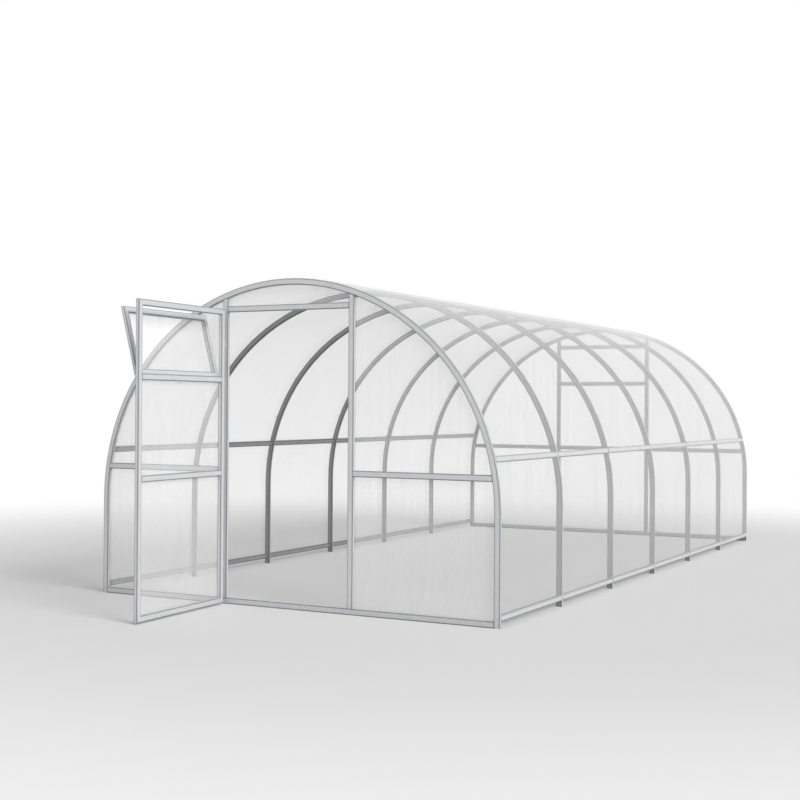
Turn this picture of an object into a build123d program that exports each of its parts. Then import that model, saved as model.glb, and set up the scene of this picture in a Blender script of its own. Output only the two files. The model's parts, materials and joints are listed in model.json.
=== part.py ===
"""Arched greenhouse: galvanised tube frame, polycarbonate sheets, a hinged door with a tilting vent in front.

Millimetres. The origin is the middle of the front sill's underside, +X to the right seen from in front,
+Y through the house to the rear, +Z up.
"""

import os
from math import asin, atan, cos, degrees, radians, sin

from build123d import *

os.makedirs("parts", exist_ok=True)

# The house over its steel
WIDTH = 3000.0
LENGTH = 6000.0
LEG_HEIGHT = 665.0  # straight foot of an arch
SHOULDER_EASE = 76.0  # the shoulder radius is this much less than half the width
CROWN_DROP = 48.0  # the crown is this much lower than a half circle
SHEET_COUNT = 3
BAYS_PER_SHEET = 2

# Steel tube
TUBE_WIDE = 40.0
TUBE_THIN = 25.0
TUBE_WALL = 1.5
WELD_GAP = 0.3  # between a tube's end and the curve it is cut to

# Side rails, height of their middle
BASE_RAIL_Z = 60.0
PURLIN_Z = 995.0

# End walls
POST_X = 478.0  # middle of a post
HEADER_DROP = 185.0  # middle of the header below the crown
GABLE_RAIL_Z = 880.0
REAR_RAIL_DROP = 382.0  # middle of the rear wall's upper rail below the header's
ANCHOR_X = 1000.0  # ground anchor holes in a sill
ANCHOR_R = 4.5

# Polycarbonate
SHEET = 4.0
SHEET_GAP = 0.3  # between a roof sheet and the arches
SHEET_LAP = 12.0  # of the roof's edges over the end arches and the base rails
SHEET_JOINT = 3.0  # between two sheets, on an arch or a post
PANE_GAP = 2.0  # round a pane

# Front door
DOOR_GAP = 1.0  # between the closed leaf and the posts
DOOR_LAP = 10.0  # over each post
DOOR_TOP_LAP = 20.0  # over the header
DOOR_FLOOR = 8.0  # under the leaf
DOOR_RAIL_Z = 860.0
VENT_RAIL_DROP = 463.0  # middle of the vent rail below the header's
PANE_EDGE = 10.0  # from a pane's edge to its frame's outer edge
DOOR_HINGE_INSET = 240.0  # from the leaf's foot and top to its hinges
DOOR_OPEN = 87.0

# Vent in the door
VENT_GAP = 1.0  # between the closed sash and the door
VENT_LAP = 12.0  # over the door's tubes
VENT_HINGE_INSET = 180.0  # from a sash's side to its hinge
VENT_OPEN = 14.0

# Pintle hinges: a bracket with a pin on the fixed side, an eye on the moving side
PIN_R = 5.0
PIN_PLAY = 0.05
EYE_R = 8.0
EYE_LENGTH = 40.0
EYE_GAP = 0.5  # between an eye and the edge that carries it
EYE_PLAY = 0.3  # between an eye and its bracket
LUG_WIDE = 12.0  # of a bracket and of an eye's lug
BRACKET_HEIGHT = 12.0

# The arch line: straight foot, shoulder arc, crown arc
SHOULDER_R = WIDTH / 2 - SHOULDER_EASE
SHOULDER_TURN = 90 - 2 * degrees(atan((SHOULDER_EASE - CROWN_DROP) / SHOULDER_EASE))
CROWN_EXCESS = SHOULDER_EASE / cos(radians(SHOULDER_TURN))
CROWN_R = SHOULDER_R + CROWN_EXCESS
CROWN_CENTRE = LEG_HEIGHT - CROWN_EXCESS * sin(radians(SHOULDER_TURN))
HEIGHT = CROWN_CENTRE + CROWN_R

# End wall frames seen from outside: x right, y up, z out
FRONT_Y = -TUBE_THIN / 2
REAR_Y = FRONT_Y + LENGTH
FRONT = Plane(origin=(0, FRONT_Y, 0), x_dir=(1, 0, 0), z_dir=(0, -1, 0))
REAR = Plane(origin=(0, REAR_Y, 0), x_dir=(-1, 0, 0), z_dir=(0, 1, 0))

BAYS = SHEET_COUNT * BAYS_PER_SHEET
BAY = (LENGTH - TUBE_THIN) / BAYS
SHEET_FOOT = BASE_RAIL_Z + TUBE_WIDE / 2 - SHEET_LAP
HEADER_Z = HEIGHT - HEADER_DROP
VENT_RAIL_Z = HEADER_Z - VENT_RAIL_DROP

# The leaf in its own frame: x from the hinge pin, y up, z out, with the pin at half its thickness
HINGE_REACH = EYE_R + EYE_GAP
DOOR_WIDTH = 2 * (POST_X - TUBE_WIDE / 2 + DOOR_LAP)
DOOR_TOP = HEADER_Z - TUBE_WIDE / 2 + DOOR_TOP_LAP
DOOR_HEIGHT = DOOR_TOP - DOOR_FLOOR
DOOR_MIDDLE = HINGE_REACH + DOOR_WIDTH / 2
DOOR_PIN_X = -DOOR_MIDDLE
DOOR_PIN_OUT = DOOR_GAP + TUBE_THIN / 2
DOOR_HINGES = (DOOR_FLOOR + DOOR_HINGE_INSET, DOOR_TOP - DOOR_HINGE_INSET)

# The sash in its own frame: x from its middle, y up from the pin, z out
VENT_WIDTH = DOOR_WIDTH - 2 * TUBE_WIDE + 2 * VENT_LAP
VENT_BOTTOM = VENT_RAIL_Z + TUBE_WIDE / 2 - VENT_LAP
VENT_HEIGHT = DOOR_TOP - TUBE_WIDE + VENT_LAP - VENT_BOTTOM
VENT_PIN_Y = VENT_BOTTOM - HINGE_REACH
VENT_PIN_OUT = TUBE_THIN + VENT_GAP
VENT_HINGE_X = VENT_WIDTH / 2 - VENT_HINGE_INSET


def save(part, name):
    part.label = name
    export_step(part, f"parts/{name}.step")


def arch_y(index):
    """Middle of an arch along the house."""
    return FRONT_Y + TUBE_THIN / 2 + index * BAY


def upright(frame, x, y, z):
    """Plane at a point of a frame, facing up it, with its x across the frame."""
    return Plane(frame.from_local_coords((x, y, z)), x_dir=frame.x_dir, z_dir=frame.y_dir)


def crosswise(frame, x, y, z):
    """Plane at a point of a frame, facing across it to the right, with its x up the frame."""
    return Plane(frame.from_local_coords((x, y, z)), x_dir=frame.y_dir, z_dir=frame.x_dir)


def corner(frame, x, y, turn):
    """Plane at a point on a frame's inner face, turned in that face."""
    return Plane(frame.location * Location((x, y, -TUBE_THIN / 2), (0, 0, turn)))


def arch_region(offset, foot):
    """All that lies inside the arch line, moved out by offset, down to the height foot."""
    half = WIDTH / 2 + offset
    with BuildSketch() as region:
        with BuildLine():
            Polyline((half, LEG_HEIGHT), (half, foot), (-half, foot), (-half, LEG_HEIGHT))
            CenterArc((-SHOULDER_EASE, LEG_HEIGHT), SHOULDER_R + offset, 180 - SHOULDER_TURN, SHOULDER_TURN)
            CenterArc((0, CROWN_CENTRE), CROWN_R + offset, SHOULDER_TURN, 180 - 2 * SHOULDER_TURN)
            CenterArc((SHOULDER_EASE, LEG_HEIGHT), SHOULDER_R + offset, 0, SHOULDER_TURN)
        make_face()
    return region.sketch


def arch_band(outer, inner, foot):
    """The strip between two offsets of the arch line."""
    with BuildSketch() as band:
        add(arch_region(outer, foot))
        add(arch_region(inner, foot), mode=Mode.SUBTRACT)
    return band.sketch


def tube_section():
    """Hollow section of the steel tube, wide along x."""
    with BuildSketch() as section:
        Rectangle(TUBE_WIDE, TUBE_THIN)
        Rectangle(TUBE_WIDE - 2 * TUBE_WALL, TUBE_THIN - 2 * TUBE_WALL, mode=Mode.SUBTRACT)
    return section.sketch


def arch(index):
    """Tube bent on edge. Its bore is cut up the straight legs, where it opens, and not round the bend."""
    middle = arch_y(index)
    leg_x = WIDTH / 2 - TUBE_WIDE / 2
    with BuildPart() as tube:
        with BuildSketch(FRONT.offset(FRONT_Y - middle + TUBE_THIN / 2)):
            add(arch_band(0, -TUBE_WIDE, 0))
        extrude(amount=-TUBE_THIN)
        with BuildSketch(Plane.XY):
            with Locations((-leg_x, middle), (leg_x, middle)):
                Rectangle(TUBE_WIDE - 2 * TUBE_WALL, TUBE_THIN - 2 * TUBE_WALL)
        extrude(amount=LEG_HEIGHT, mode=Mode.SUBTRACT)
    return tube.part


def rail_plane(side, height, y):
    """Cross plane of a side rail flush with the arches, its x up along the arch line."""
    lean = asin(max(height - LEG_HEIGHT, 0) / SHOULDER_R)
    reach = SHOULDER_R - TUBE_THIN / 2
    x = SHOULDER_EASE + reach * cos(lean)
    z = min(height, LEG_HEIGHT) + reach * sin(lean)
    return Plane((side * x, y, z), x_dir=(-side * sin(lean), 0, cos(lean)), z_dir=(0, 1, 0))


def side_rails(side, height):
    """One straight tube in each bay, from arch to arch."""
    with BuildPart() as rails:
        for bay in range(BAYS):
            with BuildSketch(rail_plane(side, height, arch_y(bay) + TUBE_THIN / 2)):
                add(tube_section())
            extrude(amount=BAY - TUBE_THIN)
    return rails.part


def roof_sheet(index):
    """Sheet bent over the arches, with its edges on an arch at both ends and on the base rails."""
    start = arch_y(index * BAYS_PER_SHEET) + SHEET_JOINT / 2
    end = arch_y((index + 1) * BAYS_PER_SHEET) - SHEET_JOINT / 2
    if index == 0:
        start = FRONT_Y + TUBE_THIN - SHEET_LAP
    if index == SHEET_COUNT - 1:
        end = REAR_Y - TUBE_THIN + SHEET_LAP
    with BuildPart() as sheet:
        with BuildSketch(FRONT.offset(FRONT_Y - start)):
            add(arch_band(SHEET_GAP + SHEET, SHEET_GAP, SHEET_FOOT))
        extrude(amount=start - end)
    return sheet.part


def sill(wall):
    """Ground tube between the feet of the end arch, with its anchor holes."""
    half = WIDTH / 2 - TUBE_WIDE
    with BuildPart() as tube:
        with BuildSketch(crosswise(wall, -half, TUBE_WIDE / 2, -TUBE_THIN / 2)):
            add(tube_section())
        extrude(amount=2 * half)
        with BuildSketch(upright(wall, 0, 0, -TUBE_THIN / 2)):
            with Locations((-ANCHOR_X, 0), (ANCHOR_X, 0)):
                Circle(ANCHOR_R)
        extrude(amount=TUBE_WIDE, mode=Mode.SUBTRACT)
    return tube.part


def post(wall, side):
    """Upright tube from the sill to the arch, with its top cut to the curve."""
    with BuildPart() as tube:
        with BuildSketch(upright(wall, side * POST_X, TUBE_WIDE, -TUBE_THIN / 2)):
            add(tube_section())
        extrude(amount=HEIGHT)
        with BuildSketch(wall):
            add(arch_region(-TUBE_WIDE - WELD_GAP, 0))
        extrude(amount=-TUBE_THIN, mode=Mode.INTERSECT)
    return tube.part


def cross_rails(wall, heights):
    """Tubes between the posts."""
    half = POST_X - TUBE_WIDE / 2
    with BuildPart() as tubes:
        for height in heights:
            with BuildSketch(crosswise(wall, -half, height, -TUBE_THIN / 2)):
                add(tube_section())
            extrude(amount=2 * half)
    return tubes.part


def gable_rails(wall):
    """Tubes from the posts to the arch, with their outer ends cut to the curve."""
    inner = POST_X + TUBE_WIDE / 2
    with BuildPart() as tubes:
        for start in (inner, -WIDTH / 2):
            with BuildSketch(crosswise(wall, start, GABLE_RAIL_Z, -TUBE_THIN / 2)):
                add(tube_section())
            extrude(amount=WIDTH / 2 - inner)
        with BuildSketch(wall):
            add(arch_region(-TUBE_WIDE - WELD_GAP, 0))
        extrude(amount=-TUBE_THIN, mode=Mode.INTERSECT)
    return tubes.part


def gable_pane(wall, left, right, bottom):
    """Flat sheet behind the end wall's tubes and arch, cut clear of the side rails."""
    with BuildPart() as pane:
        with BuildSketch(wall.offset(-TUBE_THIN)):
            add(arch_region(-TUBE_THIN - PANE_GAP, 0))
            with Locations(((left + right) / 2, (bottom + HEIGHT) / 2)):
                Rectangle(right - left, HEIGHT - bottom, mode=Mode.INTERSECT)
        extrude(amount=-SHEET)
    return pane.part


def mitred_bar(plane, length):
    """Tube along a plane's x with both ends mitred, its outer edge on the x axis."""
    inner = TUBE_WIDE - TUBE_WALL
    with BuildPart() as bar:
        with BuildSketch(plane):
            with BuildLine():
                Polyline((0, 0), (length, 0), (length - TUBE_WIDE, TUBE_WIDE), (TUBE_WIDE, TUBE_WIDE), close=True)
            make_face()
        extrude(amount=TUBE_THIN)
        with BuildSketch(plane.offset(TUBE_WALL)):
            with BuildLine():
                Polyline(
                    (TUBE_WALL, TUBE_WALL),
                    (length - TUBE_WALL, TUBE_WALL),
                    (length - inner, inner),
                    (inner, inner),
                    close=True,
                )
            make_face()
        extrude(amount=TUBE_THIN - 2 * TUBE_WALL, mode=Mode.SUBTRACT)
    return bar.part


def door_rails(leaf):
    """Mitred top and bottom rails, and the vent and middle rails between the stiles."""
    with BuildPart() as rails:
        add(mitred_bar(corner(leaf, HINGE_REACH, DOOR_FLOOR, 0), DOOR_WIDTH))
        add(mitred_bar(corner(leaf, HINGE_REACH + DOOR_WIDTH, DOOR_TOP, 180), DOOR_WIDTH))
        for height in (DOOR_RAIL_Z, VENT_RAIL_Z):
            with BuildSketch(crosswise(leaf, HINGE_REACH + TUBE_WIDE, height, 0)):
                add(tube_section())
            extrude(amount=DOOR_WIDTH - 2 * TUBE_WIDE)
    return rails.part


def flat_pane(frame, left, right, bottom, top):
    """Flat sheet on the outer face of a door or sash."""
    with BuildPart() as pane:
        with BuildSketch(frame.offset(TUBE_THIN / 2)):
            with Locations(((left + right) / 2, (bottom + top) / 2)):
                Rectangle(right - left, top - bottom)
        extrude(amount=SHEET)
    return pane.part


def vent_stiles(sash):
    """Mitred tubes at both sides of the sash."""
    half = VENT_WIDTH / 2
    with BuildPart() as stiles:
        add(mitred_bar(corner(sash, half, HINGE_REACH, 90), VENT_HEIGHT))
        add(mitred_bar(corner(sash, -half, HINGE_REACH + VENT_HEIGHT, 270), VENT_HEIGHT))
    return stiles.part


def vent_rails(sash):
    """Mitred tubes at the foot and top of the sash."""
    half = VENT_WIDTH / 2
    with BuildPart() as rails:
        add(mitred_bar(corner(sash, -half, HINGE_REACH, 0), VENT_WIDTH))
        add(mitred_bar(corner(sash, half, HINGE_REACH + VENT_HEIGHT, 180), VENT_WIDTH))
    return rails.part


def pintles(axis, stations, depth):
    """Brackets on a face that lies at the given depth behind the axis, each with a pin along the axis."""
    with BuildPart() as brackets:
        for station in stations:
            with BuildSketch(axis.offset(station - BRACKET_HEIGHT)):
                with Locations((0, (depth - PIN_R) / 2)):
                    Rectangle(LUG_WIDE, depth + PIN_R)
            extrude(amount=BRACKET_HEIGHT)
            with BuildSketch(axis.offset(station)):
                Circle(PIN_R)
            extrude(amount=EYE_LENGTH)
    return brackets.part


def eyes(axis, stations):
    """Barrels on the pins, each with a lug to the edge of the leaf or sash."""
    with BuildPart() as barrels:
        for station in stations:
            with BuildSketch(axis.offset(station + EYE_PLAY)):
                Circle(EYE_R)
                with Locations((HINGE_REACH / 2, 0)):
                    Rectangle(HINGE_REACH, LUG_WIDE)
                Circle(PIN_R + PIN_PLAY, mode=Mode.SUBTRACT)
            extrude(amount=EYE_LENGTH - EYE_PLAY)
    return barrels.part


def pair(part, middle):
    """A piece and its mirror image."""
    with BuildPart() as both:
        add(part)
        mirror(about=middle)
    return both.part


def end_wall(name, wall):
    """Fixed tubes and panes of one end."""
    save(sill(wall), f"{name}_sill")
    save(post(wall, -1), f"{name}_left_post")
    save(post(wall, 1), f"{name}_right_post")
    save(cross_rails(wall, (HEADER_Z,)), f"{name}_header")
    save(gable_rails(wall), f"{name}_gable_rails")
    edge = POST_X + SHEET_JOINT / 2
    save(gable_pane(wall, -WIDTH / 2, -edge, PANE_EDGE), f"{name}_left_pane")
    save(gable_pane(wall, edge, WIDTH / 2, PANE_EDGE), f"{name}_right_pane")


def middle_pane(wall, bottom):
    """Flat sheet between the posts, from a height up to the arch."""
    edge = POST_X - SHEET_JOINT / 2
    return gable_pane(wall, -edge, edge, bottom)


def door(name, wall, opening):
    """Leaf hung on the left post; returns its frame."""
    leaf = Plane(wall.location * Location((DOOR_PIN_X, 0, DOOR_PIN_OUT), (0, -opening, 0)))
    far = HINGE_REACH + DOOR_WIDTH
    save(mitred_bar(corner(leaf, HINGE_REACH, DOOR_TOP, 270), DOOR_HEIGHT), f"{name}_door_hinge_stile")
    save(mitred_bar(corner(leaf, far, DOOR_FLOOR, 90), DOOR_HEIGHT), f"{name}_door_lock_stile")
    save(door_rails(leaf), f"{name}_door_rails")
    pane_top = VENT_PIN_Y - LUG_WIDE / 2 - PANE_GAP
    pane = flat_pane(leaf, HINGE_REACH + PANE_EDGE, far - PANE_EDGE, DOOR_FLOOR + PANE_EDGE, pane_top)
    save(pane, f"{name}_door_pane")
    post_axis = upright(wall, DOOR_PIN_X, 0, DOOR_PIN_OUT)
    save(pintles(post_axis, DOOR_HINGES, DOOR_PIN_OUT), f"{name}_door_pintles")
    save(eyes(upright(leaf, 0, 0, 0), DOOR_HINGES), f"{name}_door_eyes")
    return leaf


def vent(name, leaf, tilt):
    """Sash over the door's upper bay, hinged along its lower edge on two pins that point to its middle."""
    pin_middle = (DOOR_MIDDLE, VENT_PIN_Y, VENT_PIN_OUT)
    sash = Plane(leaf.location * Location(pin_middle, (tilt, 0, 0)))
    door_axis = Plane(sash.origin, x_dir=leaf.y_dir, z_dir=-leaf.x_dir)
    sash_axis = Plane(sash.origin, x_dir=sash.y_dir, z_dir=-sash.x_dir)
    side = VENT_WIDTH / 2 - PANE_EDGE
    bottom = HINGE_REACH + PANE_EDGE
    top = HINGE_REACH + VENT_HEIGHT - PANE_EDGE
    save(vent_stiles(sash), f"{name}_vent_stiles")
    save(vent_rails(sash), f"{name}_vent_rails")
    save(flat_pane(sash, -side, side, bottom, top), f"{name}_vent_pane")
    depth = VENT_PIN_OUT - TUBE_THIN / 2
    save(pair(pintles(door_axis, (-VENT_HINGE_X,), depth), door_axis), f"{name}_vent_pintles")
    save(pair(eyes(sash_axis, (-VENT_HINGE_X,)), sash_axis), f"{name}_vent_eyes")


for number in range(BAYS + 1):
    save(arch(number), f"arch_{number + 1}")

for side_name, side in (("left", -1), ("right", 1)):
    save(side_rails(side, BASE_RAIL_Z), f"{side_name}_base_rails")
    save(side_rails(side, PURLIN_Z), f"{side_name}_purlins")

for number in range(SHEET_COUNT):
    save(roof_sheet(number), f"roof_sheet_{number + 1}")

end_wall("front", FRONT)
save(middle_pane(FRONT, HEADER_Z), "front_top_pane")
vent("front", door("front", FRONT, DOOR_OPEN), VENT_OPEN)

end_wall("rear", REAR)
save(cross_rails(REAR, (GABLE_RAIL_Z, HEADER_Z - REAR_RAIL_DROP)), "rear_cross_rails")
save(middle_pane(REAR, PANE_EDGE), "rear_middle_pane")
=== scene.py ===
"""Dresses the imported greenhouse: rounded galvanised tubes, twin-wall sheets, hinges and screws.

Metres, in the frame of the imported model: +X to the right seen from in front, +Y to the rear, +Z up.
"""

import json
from math import atan, cos, pi, radians, sin, sqrt

import bmesh
import bpy
from bpy.props import FloatProperty, FloatVectorProperty, PointerProperty
from mathutils import Matrix, Vector


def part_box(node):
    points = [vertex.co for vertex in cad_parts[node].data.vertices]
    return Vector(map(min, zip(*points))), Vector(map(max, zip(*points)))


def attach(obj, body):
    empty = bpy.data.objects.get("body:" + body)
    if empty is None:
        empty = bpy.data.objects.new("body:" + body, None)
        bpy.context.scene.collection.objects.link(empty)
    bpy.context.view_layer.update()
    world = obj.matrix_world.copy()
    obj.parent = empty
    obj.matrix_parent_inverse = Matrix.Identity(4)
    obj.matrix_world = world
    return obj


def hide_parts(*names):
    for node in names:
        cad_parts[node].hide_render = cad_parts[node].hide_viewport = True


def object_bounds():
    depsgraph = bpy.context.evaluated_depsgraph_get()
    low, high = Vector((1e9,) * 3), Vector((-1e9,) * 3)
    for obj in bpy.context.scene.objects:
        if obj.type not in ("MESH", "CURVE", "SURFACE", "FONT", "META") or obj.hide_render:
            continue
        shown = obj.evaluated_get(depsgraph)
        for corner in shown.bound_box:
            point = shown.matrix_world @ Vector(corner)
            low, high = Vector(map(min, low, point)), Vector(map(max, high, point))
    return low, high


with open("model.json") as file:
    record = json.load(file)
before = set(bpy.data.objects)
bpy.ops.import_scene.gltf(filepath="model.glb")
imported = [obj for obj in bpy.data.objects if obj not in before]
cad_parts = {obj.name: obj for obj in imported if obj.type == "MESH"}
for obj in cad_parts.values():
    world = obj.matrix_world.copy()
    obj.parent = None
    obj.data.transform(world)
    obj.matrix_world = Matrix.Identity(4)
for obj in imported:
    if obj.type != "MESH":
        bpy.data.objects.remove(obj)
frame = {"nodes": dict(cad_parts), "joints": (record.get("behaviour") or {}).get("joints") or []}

bl_info = {
    "name": "Arched Greenhouse",
    "version": (1, 0, 0),
    "blender": (4, 5, 0),
    "location": "3D View > Sidebar > Greenhouse",
    "description": "Dresses the greenhouse's packed frame with its finishes and small hardware",
    "category": "Object",
}

CAD_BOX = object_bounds()
JOINTS = {joint["name"]: joint for joint in frame["joints"]}

RIGHT = Vector((1, 0, 0))
BACK = Vector((0, 1, 0))
UP = Vector((0, 0, 1))
ENDS = ("front", "rear")
SIDES = ("left", "right")
ARCHES = sorted(name for name in frame["nodes"] if name.startswith("arch_"))
ROOF_SHEETS = sorted(name for name in frame["nodes"] if name.startswith("roof_sheet_"))

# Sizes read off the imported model
HALF_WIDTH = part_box("arch_1")[1].x
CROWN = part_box("arch_1")[1].z
TUBE_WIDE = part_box("front_header")[1].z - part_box("front_header")[0].z
TUBE_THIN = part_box("front_header")[1].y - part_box("front_header")[0].y
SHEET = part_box("front_top_pane")[1].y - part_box("front_top_pane")[0].y
SHEET_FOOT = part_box("roof_sheet_1")[0].z
ROOF_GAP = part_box("roof_sheet_1")[1].x - HALF_WIDTH - SHEET

# Sizes that the model's boxes don't give
LEG_HEIGHT = 0.665
SHOULDER_EASE = 0.076
WELD_GAP = 0.0003
PANE_GAP = 0.002
RIB_END = 0.003
SCREW_FROM = radians(8)
SCREW_TO = radians(80)
BASE_RAIL_Z = 0.060
PURLIN_Z = 0.995
DOOR_RAIL_Z = 0.860
VENT_RAIL_Z = 1.469

# The arch line: straight foot, shoulder arc, crown arc
CROWN_DROP = HALF_WIDTH + LEG_HEIGHT - CROWN
SHOULDER_R = HALF_WIDTH - SHOULDER_EASE
SHOULDER_TURN = pi / 2 - 2 * atan((SHOULDER_EASE - CROWN_DROP) / SHOULDER_EASE)
CROWN_EXCESS = SHOULDER_EASE / cos(SHOULDER_TURN)
CROWN_R = SHOULDER_R + CROWN_EXCESS
CROWN_CENTRE = LEG_HEIGHT - CROWN_EXCESS * sin(SHOULDER_TURN)
ARCH_INSIDE = -TUBE_WIDE - WELD_GAP
GABLE_INSIDE = -TUBE_THIN - PANE_GAP

# Fineness of the meshes
CORNER_STEPS = 4
SHOULDER_STEPS = 14
CROWN_STEPS = 22
SCREW_SIDES = 12
FLOOR_SIDES = 96
SHARP = radians(32)

# Screws: levels of the rings as shares of the height, share that a bevel leaves, turn of the heads
WASHER_RIM = 0.18
WASHER_TOP = 0.30
HEAD_FOOT = 0.34
HEAD_RIM = 0.88
BEVEL = 0.86
SCREW_TURN = 0.3

# Tube finish and painted shade: how much a corner's painted shade eases to its ends, step of the grain, dust
# on the feet
CORNER_EASE = 0.6
GRAIN_STEP = 0.37
DUST_HEIGHT = 0.10
DUST_EASE = 0.03

# Sheet finish: slot of the ribs, a rib line's share of the pitch, light through the film, fall of the gloss
RIB = 1
RIB_LINE = 0.06
LIT_THROUGH = 0.1
GLOSS_POWER = 5.0

# Width of the camera's sensor, in millimetres
SENSOR = 36.0


class Draft:
    """Points, faces and finishes of one mesh, with each point's place across and along its piece."""

    def __init__(self):
        self.points = []
        self.grain = []
        self.edge = []
        self.outer = []
        self.faces = []
        self.finishes = []

    def add(self, points, grain, edge=None, outer=None):
        """Adds points and returns their numbers."""
        first = len(self.points)
        self.points.extend(points)
        self.grain.extend(grain)
        self.edge.extend(edge or [0.0] * len(points))
        self.outer.extend(outer or [0.0] * len(points))
        return list(range(first, len(self.points)))

    def face(self, corners, finish=0):
        """Adds a face with one of the piece's finishes."""
        self.faces.append(corners)
        self.finishes.append(finish)

    def strip(self, first, second, finish=0):
        """Quads between two closed rows of points."""
        count = len(first)
        for index in range(count):
            after = (index + 1) % count
            self.face((first[index], first[after], second[after], second[index]), finish)

    def loft(self, rows, finish=0):
        """Closed skin through rows of points, with a cap at both ends."""
        for first, second in zip(rows, rows[1:]):
            self.strip(first, second, finish)
        self.face(rows[0], finish)
        self.face(rows[-1], finish)

    def build(self, name, body, slot, materials, nodes=()):
        """Makes the piece, sets it on its body and lets it stand for CAD nodes."""
        mesh = bpy.data.meshes.new(name)
        mesh.from_pydata(self.points, [], self.faces)
        mesh.polygons.foreach_set("material_index", self.finishes)
        grain = mesh.attributes.new("grain", "FLOAT_VECTOR", "POINT")
        grain.data.foreach_set("vector", [value for place in self.grain for value in place])
        # edge is the mask of painted corner shade; outer marks the faces that face out of the house, which
        # keep the lighter zinc on the copy with painted shade
        mesh.attributes.new("edge", "FLOAT", "POINT").data.foreach_set("value", self.edge)
        mesh.attributes.new("outer", "FLOAT", "POINT").data.foreach_set("value", self.outer)
        loose = bmesh.new()
        loose.from_mesh(mesh)
        bmesh.ops.recalc_face_normals(loose, faces=loose.faces)
        loose.to_mesh(mesh)
        loose.free()
        mesh.shade_smooth()
        mesh.set_sharp_from_angle(angle=SHARP)
        for material in materials:
            mesh.materials.append(material)
        piece = bpy.data.objects.new(name, mesh)
        bpy.context.scene.collection.objects.link(piece)
        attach(piece, body)
        if nodes:
            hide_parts(*nodes)
        return piece


def axes(origin, across, up, out):
    """Matrix of a frame from its origin and its three directions."""
    return Matrix((across, up, out)).transposed().to_4x4() + Matrix.Translation(origin) - Matrix.Identity(4)


def wall_frame(end):
    """End wall seen from outside: x right, y up, z out."""
    low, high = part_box(f"{end}_sill")
    if end == "front":
        return axes(Vector((0, low.y, 0)), RIGHT, UP, -BACK)
    return axes(Vector((0, high.y, 0)), -RIGHT, UP, BACK)


def leaf_frame():
    """Door leaf: x from its hinge pin, y up, z out."""
    across = Vector(JOINTS["front_vent_tilt"]["axis"])
    return axes(Vector(JOINTS["front_door_swing"]["pos_m"]), across, UP, across.cross(UP))


def sash_frame():
    """Vent sash: x from its middle, y up from its hinge pins, z out."""
    joint = JOINTS["front_vent_tilt"]
    across = Vector(joint["axis"])
    tilt = radians(-joint["range_deg"][0])
    up = UP * cos(tilt) + across.cross(UP) * sin(tilt)
    return axes(Vector(joint["pos_m"]), across, up, across.cross(up))


def local_box(node_name, place):
    """Lowest and highest corner of a CAD node in another frame."""
    inverse = place.inverted()
    points = [inverse @ vertex.co for vertex in frame["nodes"][node_name].data.vertices]
    return Vector(map(min, *points)), Vector(map(max, *points))


def arch_stations(foot):
    """Arch line from the left foot to the right foot: points and outward directions."""
    stations = [(Vector((-HALF_WIDTH, 0, foot)), -RIGHT)]
    arcs = (
        (-SHOULDER_EASE, LEG_HEIGHT, SHOULDER_R, pi, pi - SHOULDER_TURN, SHOULDER_STEPS),
        (0, CROWN_CENTRE, CROWN_R, pi - SHOULDER_TURN, SHOULDER_TURN, CROWN_STEPS),
        (SHOULDER_EASE, LEG_HEIGHT, SHOULDER_R, SHOULDER_TURN, 0, SHOULDER_STEPS),
    )
    for number, (x, z, radius, first, last, steps) in enumerate(arcs):
        for step in range(min(number, 1), steps + 1):
            angle = first + (last - first) * step / steps
            out = Vector((cos(angle), 0, sin(angle)))
            stations.append((Vector((x, 0, z)) + radius * out, out))
    stations.append((Vector((HALF_WIDTH, 0, foot)), RIGHT))
    return stations


def distances(stations):
    """Distance of each station from the first, along the line."""
    found = [0.0]
    for (before, _), (after, _) in zip(stations, stations[1:]):
        found.append(found[-1] + (after - before).length)
    return found


def arch_height(x, offset):
    """Height of the arch line, moved out by offset, at a distance from the middle."""
    x = abs(x)
    if x < (CROWN_R + offset) * cos(SHOULDER_TURN):
        return CROWN_CENTRE + sqrt((CROWN_R + offset) ** 2 - x**2)
    return LEG_HEIGHT + sqrt(max((SHOULDER_R + offset) ** 2 - (x - SHOULDER_EASE) ** 2, 0))


def arch_half_width(z, offset):
    """Distance of the arch line, moved out by offset, from the middle at a height below the crown arc."""
    return SHOULDER_EASE + sqrt((SHOULDER_R + offset) ** 2 - max(z - LEG_HEIGHT, 0) ** 2)


def tube_outline(steel):
    """Rounded rectangle about the origin: x, y and a mask of painted corner shade, from 1 in the middle of a
    corner to 0 on the flats.
    """
    radius = steel.corner_radius
    outline = []
    for quarter, (side, level) in enumerate(((1, 1), (-1, 1), (-1, -1), (1, -1))):
        centre = Vector((side * (TUBE_WIDE / 2 - radius), level * (TUBE_THIN / 2 - radius)))
        flats = (TUBE_WIDE, TUBE_THIN) if quarter % 2 else (TUBE_THIN, TUBE_WIDE)
        before, after = ((flat - 2 * radius) * steel.corner_fade for flat in flats)
        for step in range(CORNER_STEPS + 1):
            turn = (quarter + step / CORNER_STEPS) * pi / 2
            out = Vector((cos(turn), sin(turn)))
            along = Vector((-sin(turn), cos(turn)))
            point = centre + radius * out
            if step == 0:
                outline.append((*(point - before * along), 0.0))
            outline.append((*point, 1 - CORNER_EASE * abs(2 * step / CORNER_STEPS - 1)))
            if step == CORNER_STEPS:
                outline.append((*(point + after * along), 0.0))
    return outline


def outer_share(level, side, steel):
    """1 on the outer face of a tube, falling to 0 round its corners."""
    return max(0.0, 1 - 2 * (side / 2 - level) / steel.corner_radius)


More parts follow.
